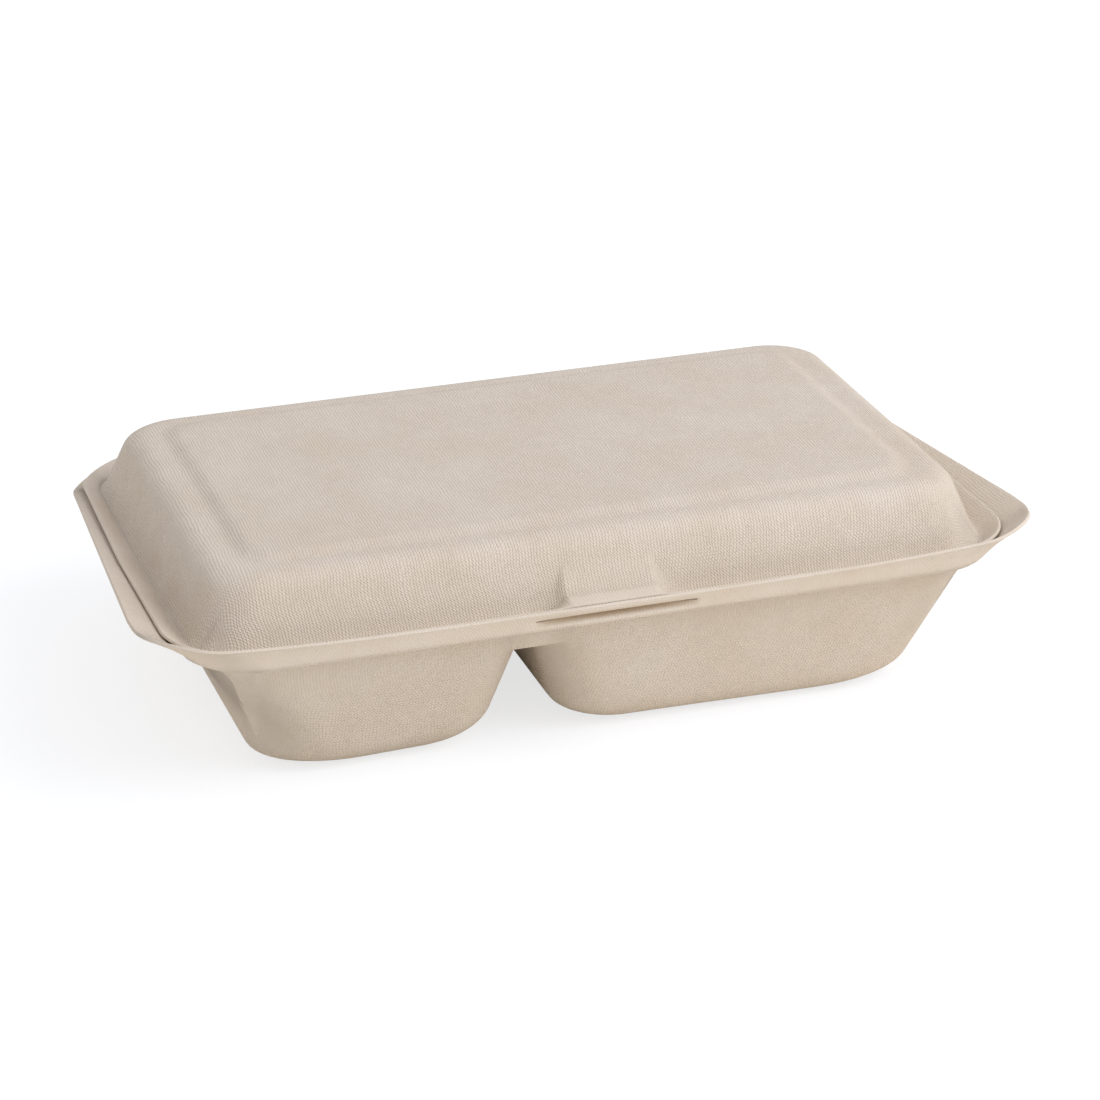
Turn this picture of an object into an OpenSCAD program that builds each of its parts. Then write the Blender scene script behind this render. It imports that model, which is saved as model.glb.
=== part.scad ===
// Two-compartment clamshell food container, moulded from bagasse pulp.
// The base tray and the lid are one moulding, parted here along the hinge crease.
// The origin is at the bottom centre of the closed container, the hinge is at the back (+Y).

/* [Overall] */
// Length over the flared ends of the tray
overall_length = 246.7; // [244:0.1:250]
// Height of the lid over the tray's ledge
lid_rise = 21.1; // [20:0.1:22]
// Thickness of the pulp wall
wall = 0.9; // [0.8:0.05:1]
// Distance of the hinge crease behind the middle of the tray
crease_y = 74; // [73:0.5:76]

/* [Tray] */
// Height of the ledge that carries the lid, on its top face
ledge_height = 40; // [38:0.5:42]
// Half length of the tray floor, from the middle to the foot of an end wall
floor_half_length = 89.8; // [88:0.2:91]
// Half width of the tray floor
floor_half_width = 53.3; // [52:0.1:54]
// Lean of the front and back walls from the vertical, in degrees
side_draft = 15.6; // [14:0.2:17]
// Lean of the end walls from the vertical, in degrees
end_draft = 24.3; // [22:0.1:25]
// Lean of the divider's walls from the vertical, in degrees
divider_draft = 16.3; // [14:0.1:18]
// Radius between the floor and the walls at the ends of the tray
floor_radius = 9.3; // [8:0.1:11]
// Radius between the floor and the walls beside the divider
divider_floor_radius = 13.3; // [11:0.1:15]
// Radius of the upright corners, seen from above
corner_radius = 13; // [11:0.5:15]
// Place of the divider ridge along the length
divider_x = -19.2; // [-24:0.2:-14]
// Height of the top of the divider ridge, on its underside
divider_height = 30.9; // [29:0.1:32]
// Radius of the top of the divider ridge
divider_radius = 4.2; // [3:0.1:6]
// Half width of the flat crown of the divider ridge
divider_crown = 2.1; // [1.5:0.1:2.5]

/* [Rim] */
// Half length of the flat ledge
ledge_half_length = 110.8; // [110.4:0.1:111.2]
// Distance of the front edge of the ledge from the middle
ledge_front = 69; // [68.8:0.1:69.2]
// Radius of the front corners of the ledge
ledge_corner_radius = 19; // [18:0.5:20]
// Radius of the front corners of the rim
rim_corner_radius = 20; // [18:0.5:22]
// Cut across the back corners of the ledge
corner_cut = 15; // [14:0.5:16]
// Height of the front lip above the ledge at the middle of the front
front_lip_rise = 5.4; // [5:0.1:5.8]
// Extra height of the lip at the front corners
corner_lip_rise = 4; // [3.4:0.1:4.4]
// Bend of the flare's section, more than 1 for steep at its foot
flare_curve = 1.3; // [1.1:0.05:1.4]
// Share of a front corner's turn that comes before the flare starts
flare_start = 0.15; // [0.1:0.05:0.3]
// Share of its half length that the rim loses from the front to the back
rim_taper = 0.057; // [0.05:0.001:0.06]

/* [Lid] */
// Half length of the flat top of the lid, to its virtual edge
top_half_length = 101.8; // [101:0.1:102]
// Half width of the flat top of the lid, to its virtual edge
top_half_width = 56.6; // [56:0.1:56.8]
// Lean of the lid's front and back walls from the vertical, in degrees
lid_side_draft = 19.3; // [18:0.1:19.6]
// Lean of the lid's end walls from the vertical, in degrees
lid_end_draft = 19.9; // [18:0.1:20.4]
// Radius of the lid's upright corners, seen from above
lid_corner_radius = 13; // [12:0.5:14]
// Radius of the shoulders of the lid
shoulder_radius = 5.5; // [3:0.1:6]
// Height of the raised panel over the border round it
panel_rise = 1.4; // [1:0.1:1.8]
// Half length of the raised panel
panel_half_length = 91; // [90:0.5:92]
// Half width of the raised panel
panel_half_width = 47.5; // [46.5:0.5:48]
// Half length of the lid's flange at the front, to the middle of its edge
flange_half_length = 115.6; // [115.2:0.1:115.8]
// Rise of the flange from its valley to its edge at the front
flange_front_rise = 4.25; // [4:0.05:4.4]
// Rise of the flange from its valley to its edge at the back corners
flange_back_rise = 1.35; // [1.2:0.05:1.6]

/* [Latch] */
// Half length of the boss on the lid's front wall
boss_half_length = 12; // [11:0.5:13]
// Height of the top of the boss over the ledge
boss_rise = 12; // [11:0.5:13]
// Stand of the boss in front of the wall at its foot
boss_proud = 3.5; // [3:0.1:3.6]
// Slope of the boss's flanks, length for each millimetre that they stand proud
boss_flank = 1.4; // [1.2:0.1:1.6]
// Half length of the slit in the front lip
slit_half_length = 21.5; // [18:0.5:23]
// Height of the slit at its middle
slit_height = 1.2; // [1:0.1:1.6]

/* [Hidden] */
half_wall = wall / 2;
// Gap between the closed lid and the tray
lid_gap = 0.3;
// Spread of the front lip past the ledge, to the middle of its wall
lip_spread = 1.8;
// Move that brings the middle of the depth to the origin
centring = (ledge_front + lip_spread + half_wall + lid_gap / 2 - crease_y) / 2;
pulp_colour = "#d6c9b4";

// Smaller and larger of two distances, with a round of radius r between them
function round_min(a, b, r) =
    abs(a - b) >= r ? min(a, b) : (a + b) / 2 - r + sqrt(r * r / 2 - pow(a - b, 2) / 4);
function round_max(a, b, r) = -round_min(-a, -b, r);
function mix(a, b, t) = a + (b - a) * t;
function clamp01(t) = min(1, max(0, t));
function ease(t) = let (c = clamp01(t)) c * c * (3 - 2 * c);
function sign_of(v) = v < 0 ? -1 : 1;

// Height of a floor, fillet and leaning wall at distance d outside the foot of the wall
function wall_height(d, draft, radius) =
    let (lean = 90 - draft, tangent = radius * tan(lean / 2))
    d <= -tangent ? 0
    : d < tangent * cos(lean) ? radius - sqrt(radius * radius - pow(d + tangent, 2))
    : d * tan(lean);

// Height of a round-cornered basin whose end walls lean, and meet the floor, in their own way
function basin(x, y, x0, x1, half_width, drafts, draft, corner, radii) =
    let (
        t = tan(draft),
        dx = max((x0 - x) * t / tan(drafts[0]), (x - x1) * t / tan(drafts[1])),
        dy = abs(y) - half_width,
        radius = mix(radii[0], radii[1], ease((x - x0) / (x1 - x0)))
    )
    wall_height(round_max(dx, dy, corner), draft, radius);

// Middle surface of the tray: two compartments, the divider ridge and the ledge
tray_floor = half_wall;
ledge_mid = ledge_height - half_wall;
divider_foot = (divider_height - tray_floor) * tan(divider_draft) + divider_crown;
// Rounds under the ledge, and along the ends of the divider
ledge_round = 1.6;
divider_end_round = 2;

function compartment(x, y, x0, x1, drafts, radii) =
    tray_floor + basin(x, y, x0, x1, floor_half_width, drafts, side_draft, corner_radius, radii);

function tray_height(x, y) =
    let (
        left = compartment(x, y, -floor_half_length, divider_x - divider_foot,
            [end_draft, divider_draft], [floor_radius, divider_floor_radius]),
        right = compartment(x, y, divider_x + divider_foot, floor_half_length,
            [divider_draft, end_draft], [divider_floor_radius, floor_radius]),
        body = compartment(x, y, -floor_half_length, floor_half_length,
            [end_draft, end_draft], [floor_radius, floor_radius]),
        ceiling = round_max(divider_height + half_wall, body + 2, divider_end_round),
        ridge = round_min(left, right, divider_radius * 2)
    )
    round_min(round_min(ridge, ceiling, divider_end_round), ledge_mid, ledge_round);

// Middle surface of the lid: the raised panel, its border, the walls and the valley at their foot
lid_valley = ledge_height + lid_gap + half_wall;
lid_border = ledge_height + lid_rise - panel_rise - half_wall;
valley_round = 4;
panel_round = 8;
// Width of the slope between the border and the panel
panel_slope = 5;
// The boss leaves the wall at boss_top, leans out to boss_proud at the valley, and its flanks
// slope back to the wall
boss_top = ledge_height + boss_rise;
boss_depth = boss_top - lid_valley;
boss_lean = tan(lid_side_draft) + boss_proud / boss_depth;

function lid_height(x, y) =
    let (
        drop = basin(x, y, -top_half_length, top_half_length, top_half_width,
            [lid_end_draft, lid_end_draft], lid_side_draft, lid_corner_radius,
            [shoulder_radius, shoulder_radius]),
        panel = round_max(abs(x) - panel_half_length, abs(y) - panel_half_width, panel_round),
        dome = lid_border - drop + panel_rise * (1 - ease(panel / panel_slope + 0.5)),
        top = boss_top - max(0, abs(x) - boss_half_length) / boss_flank * boss_depth / boss_proud,
        crest = top_half_width + (lid_border - top) * tan(lid_side_draft),
        boss = y > 0 ? 0 : top - max(0, -y - crest) / boss_lean
    )
    round_max(round_max(dome, boss, 0.3), lid_valley, valley_round);

// Grid lines from a list of stations, each [place, number of steps to the next]
function lines(stations) = [
    for (k = [0 : len(stations) - 2])
        let (a = stations[k], b = stations[k + 1])
        for (i = [0 : a[1] - 1]) mix(a[0], b[0], i / a[1]),
    stations[len(stations) - 1][0]
];

// A plan is [half length, front, back, front corner, back corner], and a corner is
// [size, roundness] with roundness 1 for an arc and 0 for a straight cut
back_roundness = 0.4;

// Bends a square grid point into a plan
function bend(x, y, plan) =
    let (
        back = y > (plan[1] + plan[2]) / 2,
        corner = plan[back ? 4 : 3],
        dx = plan[0] - abs(x),
        dy = back ? plan[2] - y : y - plan[1],
        inset = min(dx, dy),
        along = max(dx, dy) - inset,
        reach = corner[0] - inset
    )
    reach <= 0 || along >= reach ? [x, y]
    : let (
        t = 1 - along / reach,
        far = corner[0] - reach * mix(t / 2, sin(45 * t), corner[1]),
        near = inset + reach * mix(t / 2, 1 - cos(45 * t), corner[1]),
        px = dx > dy ? far : near,
        py = dx > dy ? near : far
    )
    [sign_of(x) * (plan[0] - px), back ? plan[2] - py : plan[1] + py];

// Edge point of one square grid moved to the edge of a wider plan, corners on corners
function onto(p, inner, outer) =
    let (
        back = p.y > (inner[1] + inner[2]) / 2,
        a = inner[back ? 4 : 3][0],
        b = outer[back ? 4 : 3][0],
        run = inner[0] - abs(p.x),
        px = run < a ? run * b / a : b + (run - a) * (outer[0] - b) / (inner[0] - a),
        py = lookup(p.y, [
            [inner[1], outer[1]],
            [inner[1] + inner[3][0], outer[1] + outer[3][0]],
            [inner[2] - inner[4][0], outer[2] - outer[4][0]],
            [inner[2], outer[2]]])
    )
    bend(sign_of(p.x) * (outer[0] - px), py, outer);

// Round walk over the edge points of a grid, anticlockwise seen from above
function edge_walk(nx, ny) = concat(
    [for (i = [0 : nx - 1]) [i, 0]],
    [for (j = [0 : ny - 1]) [nx, j]],
    [for (i = [nx : -1 : 1]) [i, ny]],
    [for (j = [ny : -1 : 1]) [0, j]]
);

function unit(v) = v / norm(v);
function flat_normal(ring, i) =
    let (n = len(ring), t = unit(ring[(i + 1) % n] - ring[(i + n - 1) % n])) [t.y, -t.x];

// Shell of even thickness round a middle surface with a round edge. grid is a list of columns of
// points, and rims holds the points of the rim's middle line from each edge point of the grid out.
module shell(grid, rims) {
    nx = len(grid) - 1;
    ny = len(grid[0]) - 1;
    walk = edge_walk(nx, ny);
    count = len(walk);
    normals = [for (i = [0 : nx]) [for (j = [0 : ny])
        let (
            a = grid[min(i + 1, nx)][j] - grid[max(i - 1, 0)][j],
            b = grid[i][min(j + 1, ny)] - grid[i][max(j - 1, 0)]
        ) unit(cross(a, b))]];
    under = [for (i = [0 : nx]) for (j = [0 : ny]) grid[i][j] - normals[i][j] * half_wall];
    over = [for (i = [0 : nx]) for (j = [0 : ny]) grid[i][j] + normals[i][j] * half_wall];
    stations = len(rims[0]);
    // Unit vectors square to the rim's middle surface, pointing to the upper side
    rim_normals = [for (k = [0 : count - 1]) [
        for (s = [0 : stations - 1])
            let (
                before = s == 0 ? grid[walk[k][0]][walk[k][1]] : rims[k][s - 1],
                after = rims[k][min(s + 1, stations - 1)],
                round_walk = rims[(k + 1) % count][s] - rims[(k + count - 1) % count][s]
            )
            unit(cross(after - before, round_walk))]];
    rings = concat(
        [for (s = [0 : stations - 1]) [for (k = [0 : count - 1])
            rims[k][s] - rim_normals[k][s] * half_wall]],
        [for (a = [-45, 0, 45]) [for (k = [0 : count - 1])
            let (
                last = rims[k][stations - 1],
                out = unit(last - rims[k][stations - 2])
            )
            last + (out * cos(a) + rim_normals[k][stations - 1] * sin(a)) * half_wall]],
        [for (s = [stations - 1 : -1 : 0]) [for (k = [0 : count - 1])
            rims[k][s] + rim_normals[k][s] * half_wall]]
    );
    under_count = (nx + 1) * (ny + 1);
    ring_total = len(rings);
    over_start = under_count + ring_total * count;
    function grid_index(i, j) = i * (ny + 1) + j;
    function ring_index(r, k) =
        let (w = walk[(k + count) % count])
        r < 0 ? grid_index(w[0], w[1])
        : r >= ring_total ? over_start + grid_index(w[0], w[1])
        : under_count + r * count + (k + count) % count;
    under_faces = [for (i = [0 : nx - 1]) for (j = [0 : ny - 1]) for (f = [
        [grid_index(i, j), grid_index(i + 1, j), grid_index(i + 1, j + 1)],
        [grid_index(i, j), grid_index(i + 1, j + 1), grid_index(i, j + 1)]]) f];
    over_faces = [for (f = under_faces) [for (v = [2, 1, 0]) over_start + f[v]]];
    ring_faces = [for (r = [-1 : ring_total - 1]) for (k = [0 : count - 1]) for (f = [
        [ring_index(r, k), ring_index(r + 1, k), ring_index(r + 1, k + 1)],
        [ring_index(r, k), ring_index(r + 1, k + 1), ring_index(r, k + 1)]]) f];
    points = concat(under, [for (r = rings) for (p = r) p], over);
    polyhedron(points, concat(under_faces, ring_faces, over_faces), convexity = 8);
}

// Grid of the tray
end_run = (ledge_mid - tray_floor) * tan(end_draft);
side_run = (ledge_mid - tray_floor) * tan(side_draft);
tray_columns = lines([
    [-ledge_half_length, 2], [-floor_half_length - end_run + 1, 4], [-floor_half_length - 6, 5],
    [-floor_half_length + 10, 3], [divider_x - divider_foot - 10, 4],
    [divider_x - divider_foot + 6, 3], [divider_x - 4, 4], [divider_x + 4, 3],
    [divider_x + divider_foot - 6, 4], [divider_x + divider_foot + 10, 3],
    [floor_half_length - 10, 5], [floor_half_length + 6, 4], [floor_half_length + end_run - 1, 2],
    [ledge_half_length, 0]]);
tray_rows = lines([
    [-ledge_front, 1], [-floor_half_width - side_run + 1, 4], [-floor_half_width - 4, 5],
    [-floor_half_width + 9, 4], [floor_half_width - 9, 5], [floor_half_width + 4, 4],
    [floor_half_width + side_run - 1, 2], [crease_y - 2, 0]]);
ledge_plan = [ledge_half_length, -ledge_front, crease_y - 2,
    [ledge_corner_radius, 1], [corner_cut, back_roundness]];
tray_plan = [for (x = tray_columns) [for (y = tray_rows) bend(x, y, ledge_plan)]];
tray_grid = [for (column = tray_plan) [for (p = column) [p.x, p.y, tray_height(p.x, p.y)]]];
tray_edge = edge_walk(len(tray_columns) - 1, len(tray_rows) - 1);
tray_walk = [for (w = tray_edge) tray_grid[w[0]][w[1]]];

// The lip is low at the front, flares up and out at the ends and fades out to the back corners
rim_front = -ledge_front - lip_spread;
rim_plan = [overall_length / 2 - half_wall, rim_front, crease_y - lid_gap / 2 - half_wall,
    [rim_corner_radius, 1], [corner_cut + 1, back_roundness]];
// Places along the width between which the rim tapers, slopes down to nothing, and fades out
taper_run = [-45, 58];
slope_end = 60;
fade_run = [50, 62];
function share_of(y, run) = clamp01((y - run[0]) / (run[1] - run[0]));
function end_share(n) = ease((abs(n.x) - flare_start) / (1 - flare_start));
function rim_edge(square, n) =
    let (
        q = onto(square, ledge_plan, rim_plan),
        x = q.x * (1 - rim_taper * share_of(q.y, taper_run)),
        front = front_lip_rise + corner_lip_rise * pow(x / rim_plan[0], 4),
        end = (front_lip_rise + corner_lip_rise) * (1 - share_of(q.y, [rim_front, slope_end])),
        rise = mix(front, end, end_share(n)) * (1 - ease(share_of(q.y, fade_run)))
    )
    [x, q.y, ledge_mid + rise];

// Sections of a rim from its foot to its edge: [share of the reach, share of the rise]
front_profile = [[0.14, 0.1], [0.35, 0.4], [0.62, 0.75], [1, 1]];
end_profile = [for (rise = [0.14, 0.4, 0.7, 1]) [pow(rise, flare_curve), rise]];
function along_rim(foot, edge, q) = [for (axis = [0 : 2])
    mix(foot[axis], edge[axis], q[axis == 2 ? 1 : 0])];
tray_rims = [for (k = [0 : len(tray_walk) - 1])
    let (
        n = flat_normal(tray_walk, k),
        edge = rim_edge([tray_columns[tray_edge[k][0]], tray_rows[tray_edge[k][1]]], n)
    )
    [for (s = [0 : len(end_profile) - 1])
        along_rim(tray_walk[k], edge, mix(front_profile[s], end_profile[s], end_share(n)))]];

// Slit in the front band: two arcs that meet in points, open from front to back
slit_level = ledge_mid + front_lip_rise - 1.4 - slit_height / 2;
slit_arc = (pow(slit_half_length, 2) + pow(slit_height / 2, 2)) / slit_height;

module slit() {
    translate([0, -ledge_front + wall, slit_level])
        rotate([90, 0, 0])
            linear_extrude(4)
                intersection_for (side = [-1, 1])
                    translate([0, side * (slit_arc - slit_height / 2)]) circle(slit_arc, $fn = 360);
}

module base_tray() {
    color(pulp_colour) translate([0, centring, 0])
        difference() {
            shell(tray_grid, tray_rims);
            slit();
        }
}

// Grid of the lid
lid_foot_x = top_half_length + (lid_border - lid_valley) * tan(lid_end_draft) + 0.6;
lid_foot_y = top_half_width + (lid_border - lid_valley) * tan(lid_side_draft) + 0.6;
boss_base = boss_flank * boss_proud;
lid_columns = lines([
    [-lid_foot_x, 5], [-top_half_length - 1, 4], [-panel_half_length - 2, 3],
    [-panel_half_length + 3, 5], [-boss_half_length - boss_base, 5], [-boss_half_length, 4],
    [boss_half_length, 5], [boss_half_length + boss_base, 5], [panel_half_length - 3, 3],
    [panel_half_length + 2, 4], [top_half_length + 1, 5], [lid_foot_x, 0]]);
lid_rows = lines([
    [-lid_foot_y, 9], [-top_half_width - 1, 4], [-panel_half_width - 2, 3],
    [-panel_half_width + 3, 5], [panel_half_width - 3, 3], [panel_half_width + 2, 4],
    [top_half_width + 1, 5], [lid_foot_y, 0]]);
lid_plan = [lid_foot_x, -lid_foot_y, lid_foot_y, [lid_corner_radius, 1], [lid_corner_radius, 1]];
lid_bent = [for (x = lid_columns) [for (y = lid_rows) bend(x, y, lid_plan)]];
lid_grid = [for (column = lid_bent) [for (p = column) [p.x, p.y, lid_height(p.x, p.y)]]];
lid_edge = edge_walk(len(lid_columns) - 1, len(lid_rows) - 1);

// The flange falls from the front to the back, and lies flat along the hinge
flange_front = -ledge_front;
flange_back = crease_y - lid_gap / 2 - half_wall;
flange_plan = [flange_half_length, flange_front, flange_back,
    [rim_corner_radius + 1, 1], [corner_cut + 1.5, back_roundness]];
flange_taper = 0.02;
// Half lengths between which the flange rises from the hinge to the back corners
hinge_run = [88, 98];
function flange_edge(square) =
    let (
        q = onto(square, lid_plan, flange_plan),
        x = q.x * (1 - flange_taper * share_of(q.y, [0, 57])),
        fall = pow(share_of(q.y, [-60, 58]), 1.25),
        lift = q.y > flange_back - 0.5 ? ease(share_of(abs(x), hinge_run)) : 1
    )
    [x, q.y, lid_valley + mix(flange_front_rise, flange_back_rise, fall) * lift];
flange_profile = [[0.2, 0.04], [0.5, 0.4], [1, 1]];
lid_rims = [for (w = lid_edge) [for (q = flange_profile)
    along_rim(lid_grid[w[0]][w[1]], flange_edge([lid_columns[w[0]], lid_rows[w[1]]]), q)]];

module lid() {
    color(pulp_colour) translate([0, centring, 0])
        shell(lid_grid, lid_rims);
}

base_tray();
lid();
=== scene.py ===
import math

import bmesh
import bpy
import numpy as np
from mathutils import Matrix, Vector


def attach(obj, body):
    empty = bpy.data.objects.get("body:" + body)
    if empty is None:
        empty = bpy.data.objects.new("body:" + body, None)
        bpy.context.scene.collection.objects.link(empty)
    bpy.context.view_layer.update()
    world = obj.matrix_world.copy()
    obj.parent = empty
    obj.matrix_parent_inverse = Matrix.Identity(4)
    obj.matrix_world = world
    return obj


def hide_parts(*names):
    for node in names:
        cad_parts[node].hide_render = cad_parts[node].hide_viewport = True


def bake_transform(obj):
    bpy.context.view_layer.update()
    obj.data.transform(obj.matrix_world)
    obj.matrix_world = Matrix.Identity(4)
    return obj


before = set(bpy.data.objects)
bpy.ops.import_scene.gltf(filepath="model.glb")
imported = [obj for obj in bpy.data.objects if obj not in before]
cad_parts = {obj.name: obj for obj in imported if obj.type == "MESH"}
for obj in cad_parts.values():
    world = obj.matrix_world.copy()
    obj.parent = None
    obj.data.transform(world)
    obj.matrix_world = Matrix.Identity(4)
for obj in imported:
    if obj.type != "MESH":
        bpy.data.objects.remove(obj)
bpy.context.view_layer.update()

MM = 0.001

# Camera, placed first. It looks at the middle of the lid's panel from the front left.
CAMERA_AZIMUTH = math.radians(-18.59)
CAMERA_ELEVATION = math.radians(24.12)
CAMERA_ROLL = math.radians(-0.15)
CAMERA_DISTANCE = 972.57
FOCAL_PIXELS = 3576.75
FRAME_PIXELS = 1100
PANEL_MIDDLE = Vector((0.0, -1.3, 61.1))
PANEL_PIXEL = (532.55, 444.93)
SENSOR = 36.0


def make_camera():
    """A long lens whose axis runs through the middle of the picture."""
    a, e, r = CAMERA_AZIMUTH, CAMERA_ELEVATION, CAMERA_ROLL
    back = Vector((math.sin(a) * math.cos(e), -math.cos(a) * math.cos(e), math.sin(e)))
    side = Vector((math.cos(a), math.sin(a), 0.0))
    up = back.cross(side)
    side, up = side * math.cos(r) + up * math.sin(r), up * math.cos(r) - side * math.sin(r)
    half = FRAME_PIXELS / 2
    across = (PANEL_PIXEL[0] - half) / FOCAL_PIXELS * CAMERA_DISTANCE
    above = (half - PANEL_PIXEL[1]) / FOCAL_PIXELS * CAMERA_DISTANCE
    place = (PANEL_MIDDLE - side * across - up * above + back * CAMERA_DISTANCE) * MM
    data = bpy.data.cameras.new("camera")
    data.sensor_width = SENSOR
    data.lens = FOCAL_PIXELS / FRAME_PIXELS * SENSOR
    cam = bpy.data.objects.new("camera", data)
    turn = Matrix((side, up, back)).transposed().to_4x4()
    cam.matrix_world = Matrix.Translation(place) @ turn
    bpy.context.scene.collection.objects.link(cam)
    bpy.context.scene.camera = cam
    return cam


camera = make_camera()

# Sizes of the moulding in millimetres, in the frame of the solids
WALL = 0.9
HALF = WALL / 2
Y_SHIFT = -1.3
LEDGE = 40.0
TRAY_FLOOR = HALF
LEDGE_MID = LEDGE - HALF
CREASE_Y = 74.0
LID_GAP = 0.3

FLOOR_X, FLOOR_Y = 89.8, 53.3
SIDE_DRAFT, END_DRAFT, DIVIDER_DRAFT = 15.6, 24.3, 16.3
END_RADIUS, DIVIDER_FLOOR_RADIUS, CORNER_RADIUS = 9.3, 13.3, 13.0
DIVIDER_X, DIVIDER_TOP, DIVIDER_RADIUS, DIVIDER_CROWN = -19.2, 30.9, 4.2, 2.1

# A plan is half length, front, back, front corner and back corner; a corner is its size and
# its roundness, 1 for an arc and 0 for a straight cut
CUT_ROUNDNESS = 0.4
LEDGE_X, LEDGE_FRONT = 110.8, 69.0
LEDGE_PLAN = (LEDGE_X, -LEDGE_FRONT, CREASE_Y - 2, (19.0, 1.0), (15.0, CUT_ROUNDNESS))
LEDGE_ROUND, DIVIDER_END_ROUND = 4, 2

# The rim tapers, falls and fades out to the back over these runs along the width
FRONT_LIP, CORNER_LIP = 5.4, 4.0
RIM_FRONT, RIM_BACK = -70.8, CREASE_Y - LID_GAP / 2
RIM_PLAN = (122.9, RIM_FRONT, RIM_BACK, (20.0, 1.0), (16.0, CUT_ROUNDNESS))
RIM_TAPER, TAPER_RUN = 0.057, (-45, 58)
FALL_RUN, FADE_RUN = (RIM_FRONT, 60), (50, 62)
FLARE_START, FLARE_CURVE = 0.15, 1.3

LID_RISE = 21.1
TOP_X, TOP_Y = 101.8, 56.6
LID_SIDE_DRAFT, LID_END_DRAFT = 19.3, 19.9
LID_CORNER, SHOULDER = 13.0, 5.5
PANEL_X, PANEL_Y, PANEL_RISE = 91.0, 47.5, 1.4
PANEL_ROUND, PANEL_SLOPE, VALLEY_ROUND = 8, 5, 4

# The flange falls from the front to the back corners and lies flat along the hinge. Its front
# edge is lower in the middle.
FLANGE_PLAN = (115.6, -69.2, RIM_BACK, (21.0, 1.0), (16.5, CUT_ROUNDNESS))
FLANGE_TAPER, FLANGE_TAPER_RUN = 0.02, (0, 57)
FLANGE_FRONT_RISE, FLANGE_BACK_RISE = 4.25, 1.35
FLANGE_FALL_RUN, FLANGE_FALL_CURVE = (-60, 58), 1.25
FLANGE_SAG, SAG_RUN, HINGE_RUN = 0.5, (75, 95), (88, 98)

BOSS_X, BOSS_RISE, BOSS_PROUD, BOSS_FLANK = 12.0, 12.0, 3.5, 1.4
# The lower edge of the slit is pressed in, its upper edge stands a little proud
SLIT_X, SLIT_HEIGHT, SLIT_LEAST = 21.5, 1.2, 0.1
SLIT_LEVEL = FRONT_LIP - 1.75 - SLIT_HEIGHT / 2
SLIT_DENT, SLIT_BROW = 1.8, 0.35
# Everything in front of this place belongs to the front band
FRONT_BAND = -60


def tan(degrees):
    """Tangent of an angle in degrees."""
    return math.tan(math.radians(degrees))


def mix(a, b, t):
    """The value at share t of the way from a to b."""
    return a + (b - a) * t


def ease(t):
    """A share that starts and ends softly."""
    c = np.clip(t, 0.0, 1.0)
    return c * c * (3.0 - 2.0 * c)


def share_of(value, run):
    """Share of a run that a value has passed, from 0 to 1."""
    return np.clip((value - run[0]) / (run[1] - run[0]), 0, 1)


def round_min(a, b, r):
    """The smaller of two heights, with a round of radius r where they meet."""
    d = np.abs(a - b)
    round_part = (a + b) / 2 - r + np.sqrt(np.maximum(r * r / 2 - d * d / 4, 0.0))
    return np.where(d >= r, np.minimum(a, b), round_part)


def round_max(a, b, r):
    """The larger of two heights, with a round of radius r where they meet."""
    return -round_min(-a, -b, r)


def wall_height(d, draft, radius):
    """Height of a floor, fillet and leaning wall at distance d outside the wall's foot."""
    lean = math.radians(90 - draft)
    tangent = radius * math.tan(lean / 2)
    arc = radius - np.sqrt(np.maximum(radius * radius - (d + tangent) ** 2, 0.0))
    slope = d * math.tan(lean)
    return np.where(d <= -tangent, 0.0, np.where(d < tangent * math.cos(lean), arc, slope))


def compartment(x, y, x0, x1, drafts, radii):
    """A compartment whose end walls lean, and meet the floor, in their own way."""
    t = tan(SIDE_DRAFT)
    dx = np.maximum((x0 - x) * t / tan(drafts[0]), (x - x1) * t / tan(drafts[1]))
    radius = mix(radii[0], radii[1], ease((x - x0) / (x1 - x0)))
    distance = round_max(dx, np.abs(y) - FLOOR_Y, CORNER_RADIUS)
    return TRAY_FLOOR + wall_height(distance, SIDE_DRAFT, radius)


DIVIDER_FOOT = (DIVIDER_TOP - TRAY_FLOOR) * tan(DIVIDER_DRAFT) + DIVIDER_CROWN


def tray_height(x, y):
    """Middle surface of the tray: two compartments, the divider ridge and the ledge."""
    left = compartment(x, y, -FLOOR_X, DIVIDER_X - DIVIDER_FOOT,
                       (END_DRAFT, DIVIDER_DRAFT), (END_RADIUS, DIVIDER_FLOOR_RADIUS))
    right = compartment(x, y, DIVIDER_X + DIVIDER_FOOT, FLOOR_X,
                        (DIVIDER_DRAFT, END_DRAFT), (DIVIDER_FLOOR_RADIUS, END_RADIUS))
    body = compartment(x, y, -FLOOR_X, FLOOR_X, (END_DRAFT, END_DRAFT), (END_RADIUS, END_RADIUS))
    ceiling = round_max(DIVIDER_TOP + HALF, body + 2, DIVIDER_END_ROUND)
    ridge = round_min(left, right, DIVIDER_RADIUS * 2)
    return round_min(round_min(ridge, ceiling, DIVIDER_END_ROUND), LEDGE_MID, LEDGE_ROUND)


LID_VALLEY = LEDGE + LID_GAP + HALF
LID_BORDER = LEDGE + LID_RISE - PANEL_RISE - HALF
BOSS_TOP = LEDGE + BOSS_RISE
BOSS_LEAN = tan(LID_SIDE_DRAFT) + BOSS_PROUD / (BOSS_TOP - LID_VALLEY)


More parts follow.
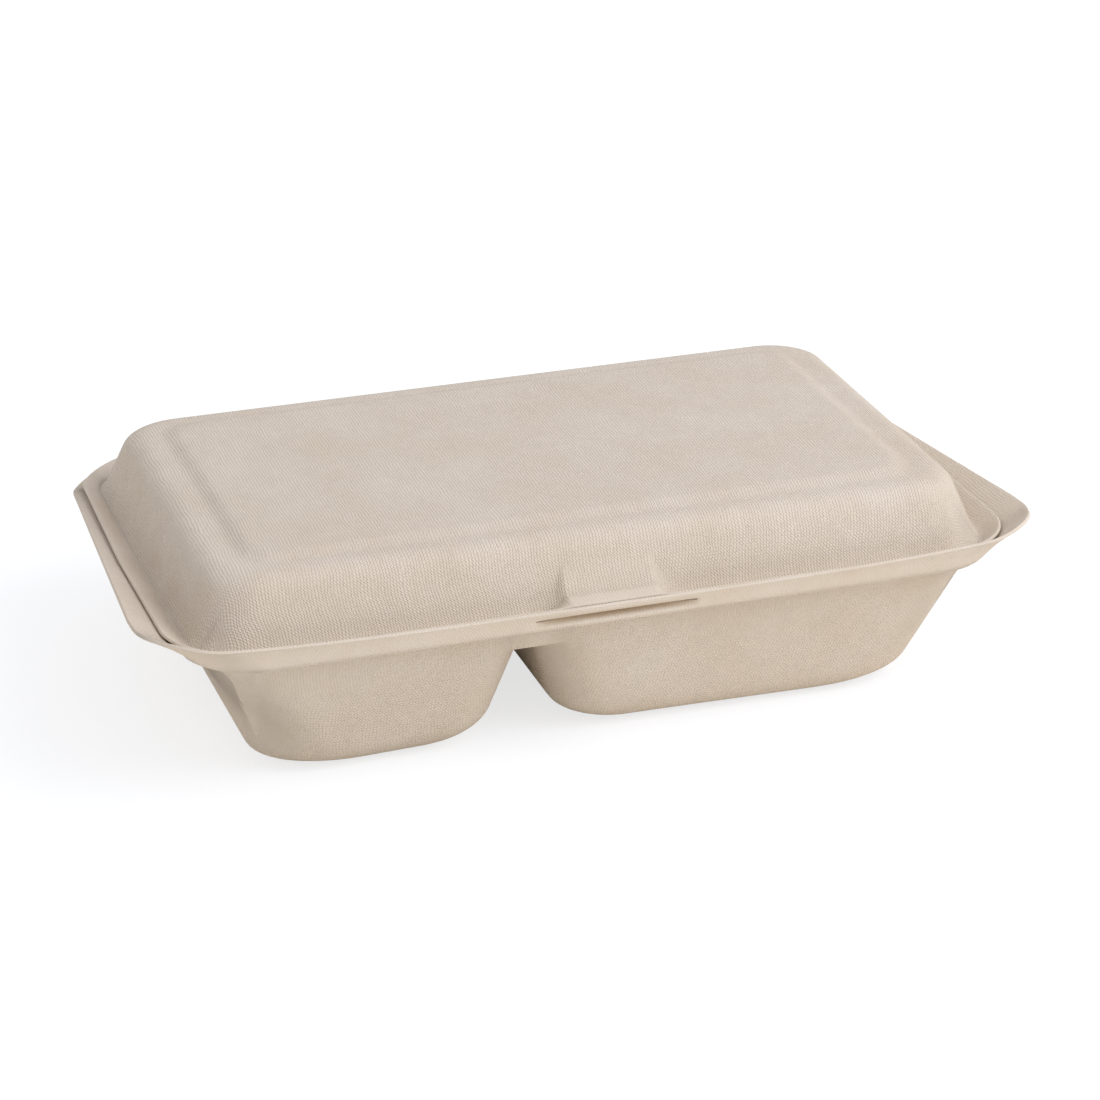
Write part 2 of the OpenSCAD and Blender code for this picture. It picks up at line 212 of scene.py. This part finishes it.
def lid_height(x, y):
    """Middle surface of the lid: panel, border, walls, boss and the valley at their foot."""
    t = tan(LID_SIDE_DRAFT)
    dx = (np.abs(x) - TOP_X) * t / tan(LID_END_DRAFT)
    outside = round_max(dx, np.abs(y) - TOP_Y, LID_CORNER)
    panel = round_max(np.abs(x) - PANEL_X, np.abs(y) - PANEL_Y, PANEL_ROUND)
    dome = (LID_BORDER - wall_height(outside, LID_SIDE_DRAFT, SHOULDER)
            + PANEL_RISE * (1 - ease(panel / PANEL_SLOPE + 0.5)))
    # The boss leans out from the wall below its top, and its flanks slope back to the wall
    flank = np.maximum(0, np.abs(x) - BOSS_X) / BOSS_FLANK
    top = BOSS_TOP - flank * (BOSS_TOP - LID_VALLEY) / BOSS_PROUD
    crest = TOP_Y + (LID_BORDER - top) * t
    boss = np.where(y < 0, top - np.maximum(0, -y - crest) / BOSS_LEAN, 0)
    return round_max(round_max(dome, boss, 0.3), LID_VALLEY, VALLEY_ROUND)


def lines(stations):
    """Grid lines from stations, each (place, spacing up to the next)."""
    out = []
    for (a, step), (b, _) in zip(stations, stations[1:]):
        count = max(1, round((b - a) / step))
        out += [a + (b - a) * i / count for i in range(count)]
    return np.array(out + [stations[-1][0]])


def bend(x, y, hx, y0, y1, front, back):
    """A square grid bent into a plan with rounded or cut corners."""
    behind = y > (y0 + y1) / 2
    corner, roundness = np.where(behind, back[0], front[0]), np.where(behind, back[1], front[1])
    dx, dy = hx - np.abs(x), np.where(behind, y1 - y, y - y0)
    inset = np.minimum(dx, dy)
    reach = corner - inset
    t = 1 - (np.maximum(dx, dy) - inset) / np.where(reach > 0, reach, 1)
    turn = np.radians(45 * t)
    far = reach * mix(t / 2, np.sin(turn), roundness)
    near = reach * mix(t / 2, 1 - np.cos(turn), roundness)
    px = np.where(dx > dy, corner - far, inset + near)
    py = np.where(dx > dy, inset + near, corner - far)
    moved = (reach > 0) & (t > 0)
    return (np.where(moved, np.sign(x) * (hx - px), x),
            np.where(moved, np.where(behind, y1 - py, y0 + py), y))


def onto(x, y, inner, outer):
    """Edge points of one square grid on a larger plan, corners on corners."""
    hx, y0, y1, front, back = inner
    ox, o0, o1, wide_front, wide_back = outer
    behind = y > (y0 + y1) / 2
    a, b = np.where(behind, back[0], front[0]), np.where(behind, wide_back[0], wide_front[0])
    run = hx - np.abs(x)
    px = ox - np.where(run < a, run * b / a, b + (run - a) * (ox - b) / (hx - a))
    py = np.interp(y, [y0, y0 + front[0], y1 - back[0], y1],
                   [o0, o0 + wide_front[0], o1 - wide_back[0], o1])
    return bend(np.sign(x) * px, py, *outer)


def arc_lengths(points, axis):
    """Length along the surface from the middle line, for each grid point."""
    steps = np.linalg.norm(np.diff(points, axis=axis), axis=2)
    start = np.zeros_like(np.take(steps, [0], axis))
    total = np.concatenate([start, np.cumsum(steps, axis)], axis)
    return total - np.take(total, [total.shape[axis] // 2], axis)


def new_piece(name, bm):
    """A smooth piece of the scene from a bmesh whose places are in metres."""
    bmesh.ops.recalc_face_normals(bm, faces=bm.faces)
    mesh = bpy.data.meshes.new(name)
    bm.to_mesh(mesh)
    bm.free()
    mesh.shade_smooth()
    obj = bpy.data.objects.new(name, mesh)
    bpy.context.scene.collection.objects.link(obj)
    return obj


class Sheet:
    """A pulp sheet: a shaped grid with rings of faces grown out from its edge."""

    def __init__(self, xs, ys, plan, height):
        nx, ny = len(xs) - 1, len(ys) - 1
        self.bm = bmesh.new()
        bmesh.ops.create_grid(self.bm, x_segments=nx, y_segments=ny, size=1.0)
        self.weave = self.bm.verts.layers.float_vector.new("weave")
        # Share of the brown painted shade below the slit's upper lip
        self.bruise = self.bm.verts.layers.float.new("bruise")
        gx, gy = np.meshgrid(xs, ys, indexing="ij")
        px, py = bend(gx, gy, *plan)
        points = np.stack([px, py, height(px, py)], 2)
        s, t = arc_lengths(points, 0), arc_lengths(points, 1)
        at = {}
        for v in self.bm.verts:
            i, j = round((v.co.x + 1) / 2 * nx), round((v.co.y + 1) / 2 * ny)
            at[i, j] = v
            v.co = points[i, j]
            v[self.weave] = (s[i, j], t[i, j], 0)
        walk = ([(i, 0) for i in range(nx)] + [(nx, j) for j in range(ny)]
                + [(i, ny) for i in range(nx, 0, -1)] + [(0, j) for j in range(ny, 0, -1)])
        self.ring = [at[k] for k in walk]
        self.foot = np.array([points[k] for k in walk])
        self.square = np.array([(gx[k], gy[k]) for k in walk])
        along = np.roll(self.foot, -1, 0) - np.roll(self.foot, 1, 0)
        normal = np.stack([along[:, 1], -along[:, 0]], 1)
        self.normal = normal / np.linalg.norm(normal, axis=1, keepdims=True)

    def grow(self, places):
        """One more ring of faces, out to the given places, one for each edge point."""
        ring = self.ring
        edges = [self.bm.edges.get((a, b)) for a, b in zip(ring, ring[1:] + ring[:1])]
        made = bmesh.ops.extrude_edge_only(self.bm, edges=edges)["geom"]
        fresh = {v for v in made if isinstance(v, bmesh.types.BMVert)}
        self.ring = [next(e.other_vert(v) for e in v.link_edges if e.other_vert(v) in fresh)
                     for v in ring]
        for k, v in enumerate(self.ring):
            v.co = places[k]
            step = (v.co - ring[k].co).length
            out = Vector((*(self.normal[k] * step), 1))
            v[self.weave] = ring[k][self.weave] + out
        return self.ring

    def finish(self, name):
        """The sheet as a piece of the scene, in metres and in the frame of the solids."""
        for v in self.bm.verts:
            v.co.y += Y_SHIFT
            v.co *= MM
        return new_piece(name, self.bm)


# Tray: grid lines are closer where the sheet bends
end_run = (LEDGE_MID - TRAY_FLOOR) * tan(END_DRAFT)
side_run = (LEDGE_MID - TRAY_FLOOR) * tan(SIDE_DRAFT)
left_foot = DIVIDER_X - DIVIDER_FOOT
tray_xs = lines([(-LEDGE_X, 1), (-FLOOR_X - end_run - 1.5, 0.5), (-FLOOR_X - end_run + 2, 1.5),
                 (-FLOOR_X - 6, 1), (-FLOOR_X + 10, 4), (left_foot - 12, 1), (DIVIDER_X - 5, 0.6),
                 (DIVIDER_X + 5, 1), (SLIT_X + 2, 4), (FLOOR_X - 10, 1), (FLOOR_X + 6, 1.5),
                 (FLOOR_X + end_run - 2, 0.5), (FLOOR_X + end_run + 1.5, 1), (LEDGE_X, 1)])
tray_ys = lines([(-LEDGE_FRONT, 1), (-FLOOR_Y - side_run - 1.5, 0.5),
                 (-FLOOR_Y - side_run + 2, 1.5), (-FLOOR_Y - 4, 1), (-FLOOR_Y + 10, 4),
                 (FLOOR_Y - 10, 1), (FLOOR_Y + 4, 1.5), (FLOOR_Y + side_run - 2, 0.5),
                 (FLOOR_Y + side_run + 1.5, 1), (CREASE_Y - 2, 1)])

# Sections of the rim from its foot to its edge: share of the reach, share of the rise
FRONT_PROFILE = [(0, 0), (0.14, 0.1), (0.35, 0.4), (0.62, 0.75), (1, 1)]
END_PROFILE = [(r ** FLARE_CURVE, r) for r in (0, 0.1, 0.25, 0.4, 0.6, 0.8, 1)]


def profile_at(profile, t):
    """Point at share t of the length of a profile line."""
    p = np.array(profile, float)
    k = np.concatenate([[0], np.cumsum(np.linalg.norm(np.diff(p, axis=0), axis=1))])
    return np.array([np.interp(t * k[-1], k, p[:, 0]), np.interp(t * k[-1], k, p[:, 1])])


# Rings of the rim from the ledge out: share of the section's length, or an edge of the slit, and
# how much of the dent, the brow and the brown painted shade the ring takes beside the slit
RIM_RINGS = ((0.06, 0, 0, 0), (0.12, 0, 0, 0), (0.18, 0, 0, 0), (0.26, 0.4, 0, 0.6),
             ("low", 1, 0, 1), ("high", 0, 1, 0.25), (0.86, 0, 0.5, 0), (0.93, 0, 0, 0),
             (1.0, 0, 0, 0))
# Places of the slit's edges on the flared ends, where there is no slit
END_PLACES = {"low": 0.5, "high": 0.6}


def rim_edge(square, end):
    """Edge of the tray's rim, low at the front and flaring up and out at the ends."""
    x, y = onto(*square.T, LEDGE_PLAN, RIM_PLAN)
    x = x * (1 - RIM_TAPER * share_of(y, TAPER_RUN))
    front_rise = FRONT_LIP + CORNER_LIP * (x / RIM_PLAN[0]) ** 4
    end_rise = (FRONT_LIP + CORNER_LIP) * (1 - share_of(y, FALL_RUN))
    rise = mix(front_rise, end_rise, end) * (1 - ease(share_of(y, FADE_RUN)))
    return np.stack([x, y, LEDGE_MID + rise], 1)


def open_slit(bm, low, high, in_slit):
    """Takes away the faces between the two edges of the slit."""
    gone = []
    for k in range(len(low)):
        n = (k + 1) % len(low)
        if in_slit[k] and in_slit[n]:
            lower = bm.edges.get((low[k], low[n]))
            gone += [f for f in lower.link_faces if high[k] in f.verts]
    bmesh.ops.delete(bm, geom=gone, context="FACES_ONLY")


def make_tray():
    """The tray: the shaped grid up to the ledge, then the rings of the rim with the slit."""
    sheet = Sheet(tray_xs, tray_ys, LEDGE_PLAN, tray_height)
    x, y = sheet.foot[:, 0], sheet.foot[:, 1]
    end = ease((np.abs(sheet.normal[:, 0]) - FLARE_START) / (1 - FLARE_START))
    edge = rim_edge(sheet.square, end)
    arc = np.where(y < FRONT_BAND, np.maximum(0, 1 - (x / SLIT_X) ** 2), 0.0)
    lens = (arc ** 0.35 * SLIT_HEIGHT + SLIT_LEAST) / 2
    rise_shares, reach_shares = [p[1] for p in FRONT_PROFILE], [p[0] for p in FRONT_PROFILE]
    for place, dent, brow, bruise in RIM_RINGS:
        if place in END_PLACES:
            z = (SLIT_LEVEL + (lens if place == "high" else -lens)) / FRONT_LIP
            front = np.stack([np.interp(z, rise_shares, reach_shares), z], 1)
        else:
            front = profile_at(FRONT_PROFILE, place)[None]
        flare = profile_at(END_PROFILE, END_PLACES.get(place, place))[None]
        shares = mix(front, flare, end[:, None])
        places = mix(sheet.foot, edge, shares[:, [0, 0, 1]])
        places[:, 1] += arc ** 0.7 * dent * SLIT_DENT - arc * brow * SLIT_BROW
        below = sheet.ring
        # Each ring beside the slit takes its share of the brown painted shade
        for k, v in enumerate(sheet.grow(places)):
            v[sheet.bruise] = arc[k] ** 0.5 * bruise
        if place == "high":
            open_slit(sheet.bm, below, sheet.ring, (np.abs(x) < SLIT_X) & (y < FRONT_BAND))
    return sheet.finish("tray_shell")


# Lid: its walls' foot, and grid lines closer where the sheet bends
lid_foot_x = TOP_X + (LID_BORDER - LID_VALLEY) * tan(LID_END_DRAFT) + 0.6
lid_foot_y = TOP_Y + (LID_BORDER - LID_VALLEY) * tan(LID_SIDE_DRAFT) + 0.6
lid_xs = lines([(-lid_foot_x, 0.7), (-TOP_X - 3, 0.8), (-PANEL_X - 3, 0.8), (-PANEL_X + 4, 3),
                (-BOSS_X - 2.5, 0.5), (-BOSS_X + 2.5, 2.5), (BOSS_X - 2.5, 0.5), (BOSS_X + 2.5, 3),
                (PANEL_X - 4, 0.8), (PANEL_X + 3, 0.8), (TOP_X + 3, 0.7), (lid_foot_x, 1)])
lid_ys = lines([(-lid_foot_y, 0.5), (-TOP_Y - 3, 0.8), (-PANEL_Y - 3, 0.8), (-PANEL_Y + 4, 3),
                (PANEL_Y - 4, 0.8), (PANEL_Y + 3, 0.8), (TOP_Y + 3, 0.5), (lid_foot_y, 1)])


# Section of the flange from the valley to its edge, and its rings along it
FLANGE_PROFILE = [(0, 0), (0.1, 0.01), (0.2, 0.04), (0.35, 0.2), (0.5, 0.4), (1, 1)]
FLANGE_RINGS = (0.08, 0.16, 0.25, 0.34, 0.45, 0.6, 0.8, 1.0)


def make_lid():
    """The lid: the shaped grid down to the valley, then the rings of the flange."""
    foot_plan = (lid_foot_x, -lid_foot_y, lid_foot_y, (LID_CORNER, 1.0), (LID_CORNER, 1.0))
    sheet = Sheet(lid_xs, lid_ys, foot_plan, lid_height)
    x, y = onto(*sheet.square.T, foot_plan, FLANGE_PLAN)
    x = x * (1 - FLANGE_TAPER * share_of(y, FLANGE_TAPER_RUN))
    fall = share_of(y, FLANGE_FALL_RUN) ** FLANGE_FALL_CURVE
    rise = mix(FLANGE_FRONT_RISE, FLANGE_BACK_RISE, fall)
    at_hinge = y > FLANGE_PLAN[2] - 0.5
    rise = rise * np.where(at_hinge, ease(share_of(np.abs(x), HINGE_RUN)), 1)
    sag = FLANGE_SAG * (1 - ease(share_of(np.abs(x), SAG_RUN)))
    rise = rise - np.where(y < FRONT_BAND, sag, 0)
    edge = np.stack([x, y, LID_VALLEY + rise], 1)
    for t in FLANGE_RINGS:
        q = profile_at(FLANGE_PROFILE, t)
        sheet.grow(mix(sheet.foot, edge, np.array([q[0], q[0], q[1]])))
    return sheet.finish("lid_shell")


EDGE_SOFTNESS, EDGE_ANGLE = 0.25, 55


def give_wall(obj):
    """The sheet gets its thickness and slightly soft cut edges."""
    solid = obj.modifiers.new("wall", "SOLIDIFY")
    solid.thickness = WALL * MM
    solid.offset = 0
    solid.use_even_offset = False
    soft = obj.modifiers.new("soft edge", "BEVEL")
    soft.width = EDGE_SOFTNESS * MM
    soft.segments = 2
    soft.limit_method = "ANGLE"
    soft.angle_limit = math.radians(EDGE_ANGLE)


def add(nodes, kind, **inputs):
    """A shader node with its settings, and its sockets set or linked by name or as _number."""
    node = nodes.new(kind)
    for key, value in inputs.items():
        if hasattr(node, key):
            setattr(node, key, value)
            continue
        place = int(key[1:]) if key.startswith("_") else key.replace("_", " ")
        socket = node.inputs[place]
        if isinstance(value, bpy.types.NodeSocket):
            nodes.id_data.links.new(value, socket)
        else:
            socket.default_value = value
    return node


def linear(hex_colour):
    """sRGB hex as a linear colour."""
    out = []
    for k in (1, 3, 5):
        c = int(hex_colour[k:k + 2], 16) / 255
        out.append(c / 12.92 if c <= 0.04045 else ((c + 0.055) / 1.055) ** 2.4)
    return (*out, 1.0)


# How fine the pulp's patterns are, in cells per metre: cloudy patches, specks, the wander of the
# forming screen's wires and the grain of the fibres
PATCHES, SPECKS, WANDERING, GRAIN = 45.0, 75.0, 140.0, 1400.0
# In millimetres: the pitch of the wires, how far they wander and the height of the relief
WIRE_PITCH, WANDER, RELIEF = 0.85, 1.6, 0.16


def pulp_material():
    """Moulded bagasse pulp, dry and matt, pressed against a woven forming screen."""
    mat = bpy.data.materials.new("moulded bagasse pulp, matt")
    mat.use_nodes = True
    nodes = mat.node_tree.nodes
    shader = nodes["Principled BSDF"]
    link = mat.node_tree.links.new
    place = add(nodes, "ShaderNodeTexCoord").outputs["Object"]

    def maths(operation, a, b, c=0.0):
        return add(nodes, "ShaderNodeMath", operation=operation, _0=a, _1=b, _2=c).outputs[0]

    def noise(scale, detail, **settings):
        return add(nodes, "ShaderNodeTexNoise", Vector=place, Scale=scale, Detail=detail,
                   **settings)

    def painted(under, hex_colour, share):
        """One colour over another, by a share that varies over the surface."""
        node = add(nodes, "ShaderNodeMix", data_type="RGBA")
        link(share, node.inputs["Factor"])
        link(under, node.inputs["A"])
        node.inputs["B"].default_value = linear(hex_colour)
        return node.outputs["Result"]

    # Pale straw colour, cloudy, with a few darker specks of cane
    patches = noise(PATCHES, 5.0, Roughness=0.65)
    ramp = add(nodes, "ShaderNodeValToRGB", Fac=patches.outputs["Fac"])
    for end, position, colour in ((0, 0.3, "#cfbea6"), (1, 0.7, "#d6c7b2")):
        ramp.color_ramp.elements[end].position = position
        ramp.color_ramp.elements[end].color = linear(colour)
    specks = add(nodes, "ShaderNodeTexVoronoi", Vector=place, Scale=SPECKS)
    size = add(nodes, "ShaderNodeSeparateXYZ", Vector=specks.outputs["Color"]).outputs["X"]
    radius = maths("MULTIPLY", maths("POWER", size, 6.0), 0.03)
    dark = maths("LESS_THAN", specks.outputs["Distance"], radius)
    tint = painted(ramp.outputs["Color"], "#93795a", dark)
    shader.inputs["Roughness"].default_value = 0.9
    shader.inputs["Specular IOR Level"].default_value = 0.2

    # The screen's wires run in a zigzag, wander a little and fade out towards the rims
    weave = add(nodes, "ShaderNodeAttribute", attribute_name="weave").outputs["Vector"]
    wander = noise(WANDERING, 3.0).outputs["Color"]
    shifted = add(nodes, "ShaderNodeVectorMath", operation="MULTIPLY_ADD",
                  _0=wander, _1=(WANDER, WANDER, 0.0), _2=weave).outputs[0]
    split = add(nodes, "ShaderNodeSeparateXYZ", Vector=shifted)

    def turns(value):
        return maths("MULTIPLY", value, 2 * math.pi / WIRE_PITCH)

    zigzag = maths("MULTIPLY", maths("SINE", turns(split.outputs["Y"]), 0.0), 1.1)
    wires = maths("SINE", maths("ADD", turns(split.outputs["X"]), zigzag), 0.0)
    press = add(nodes, "ShaderNodeMapRange", Value=split.outputs["Z"], From_Max=4.0,
                To_Min=1.0, To_Max=0.35)
    wires = maths("MULTIPLY", wires, press.outputs[0])
    grain = noise(GRAIN, 2.0).outputs["Fac"]
    height = maths("MULTIPLY_ADD", wires, 0.5, grain)
    bump = add(nodes, "ShaderNodeBump", Strength=1.0, Distance=RELIEF * MM, Height=height)
    link(bump.outputs["Normal"], shader.inputs["Normal"])

    # The pits of the pattern get a little painted shade, and below the slit's upper lip a brown
    # painted shade is laid on
    # Painted shade: the low places of the relief are painted a little darker
    pit_shade = add(nodes, "ShaderNodeMapRange", Value=height, From_Min=0.0, From_Max=1.0,
               To_Min=0.1, To_Max=0.0)
    with_pit_shade = painted(tint, "#a08c6e", pit_shade.outputs[0])
    # Brown painted shade below the slit's upper lip, laid on by the rings' shares
    bruise = add(nodes, "ShaderNodeAttribute", attribute_name="bruise").outputs["Fac"]
    bruised = painted(with_pit_shade, "#94703c", maths("MULTIPLY", bruise, 0.85))
    link(bruised, shader.inputs["Base Color"])
    return mat


tray = make_tray()
lid = make_lid()
pulp = pulp_material()
for piece, body in ((tray, "base"), (lid, "lid")):
    give_wall(piece)
    piece.data.materials.append(pulp)
    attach(piece, body)
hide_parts("base_tray")
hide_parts("lid")


# The crease bends half a turn round the hinge, between the cut back corners
CREASE_HALF_LENGTH, CREASE_STEPS, BEND_STEPS = 97.0, 60, 12


def make_crease():
    """The bent strip of pulp that joins the tray and the lid along the back."""
    bm = bmesh.new()
    weave = bm.verts.layers.float_vector.new("weave")
    axis_y, axis_z = CREASE_Y + Y_SHIFT, LEDGE + LID_GAP / 2
    radius = HALF + LID_GAP / 2
    bmesh.ops.create_grid(bm, x_segments=CREASE_STEPS, y_segments=BEND_STEPS, size=1.0)
    for v in bm.verts:
        angle = math.radians(90 * v.co.y)
        along = v.co.x * CREASE_HALF_LENGTH
        v[weave] = (along, angle, 0)
        back, up = radius * math.cos(angle), radius * math.sin(angle)
        v.co = Vector((along, axis_y + back, axis_z + up)) * MM
    obj = new_piece("crease", bm)
    solid = obj.modifiers.new("wall", "SOLIDIFY")
    solid.thickness = WALL * MM
    solid.offset = 0
    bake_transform(obj)
    return obj


crease = make_crease()
crease.data.materials.append(pulp)

# Floor and light, in metres and watts
FLOOR_SIZE = 6.0
DAYLIGHT = "#ebf0ff"
# What the camera sees of the floor: a grey that takes the shadow, and a shine of its own
FLOOR_SEEN, FLOOR_GLOW = (0.3, 0.3, 0.29, 1.0), 0.73


def seen(nodes):
    """1 for what the camera sees directly, 0 for light that the surface sends on."""
    return add(nodes, "ShaderNodeLightPath").outputs["Is Camera Ray"]


def make_floor():
    """A wide white floor that keeps the container's soft shadow."""
    bm = bmesh.new()
    bmesh.ops.create_grid(bm, x_segments=1, y_segments=1, size=FLOOR_SIZE / 2)
    mesh = bpy.data.meshes.new("floor")
    bm.to_mesh(mesh)
    bm.free()
    floor = bpy.data.objects.new("floor", mesh)
    bpy.context.scene.collection.objects.link(floor)
    mat = bpy.data.materials.new("white studio floor, matt")
    mat.use_nodes = True
    nodes = mat.node_tree.nodes
    shader = nodes["Principled BSDF"]
    view = seen(nodes)
    sends = add(nodes, "ShaderNodeMix", data_type="RGBA", Factor=view)
    sends.inputs["A"].default_value = linear("#fffaf0")
    sends.inputs["B"].default_value = FLOOR_SEEN
    mat.node_tree.links.new(sends.outputs["Result"], shader.inputs["Base Color"])
    glow = add(nodes, "ShaderNodeMath", operation="MULTIPLY", _0=view, _1=FLOOR_GLOW)
    mat.node_tree.links.new(glow.outputs[0], shader.inputs["Emission Strength"])
    shader.inputs["Emission Color"].default_value = (1.0, 1.0, 1.0, 1.0)
    shader.inputs["Roughness"].default_value = 1.0
    shader.inputs["Specular IOR Level"].default_value = 0.0
    mesh.materials.append(mat)


def area_light(name, place, target, size, power, colour):
    """A square soft light that points from its place at a target."""
    data = bpy.data.lights.new(name, "AREA")
    data.size = size
    data.energy = power
    data.color = linear(colour)[:3]
    lamp = bpy.data.objects.new(name, data)
    lamp.location = place
    lamp.rotation_mode = "QUATERNION"
    lamp.rotation_quaternion = (Vector(place) - Vector(target)).to_track_quat("Z", "Y")
    bpy.context.scene.collection.objects.link(lamp)


make_floor()
area_light("key", (0.80, -0.60, 0.92), (0, 0, 0.03), 1.0, 13.8, DAYLIGHT)
world = bpy.data.worlds.new("studio")
world.use_nodes = True
sky_nodes = world.node_tree.nodes
sky = sky_nodes["Background"]
sky.inputs["Color"].default_value = linear(DAYLIGHT)
strength = add(sky_nodes, "ShaderNodeMapRange", Value=seen(sky_nodes), To_Min=0.9,
               To_Max=1.0)
world.node_tree.links.new(strength.outputs[0], sky.inputs["Strength"])
bpy.context.scene.world = world
bpy.context.scene.view_settings.view_transform = "Standard"
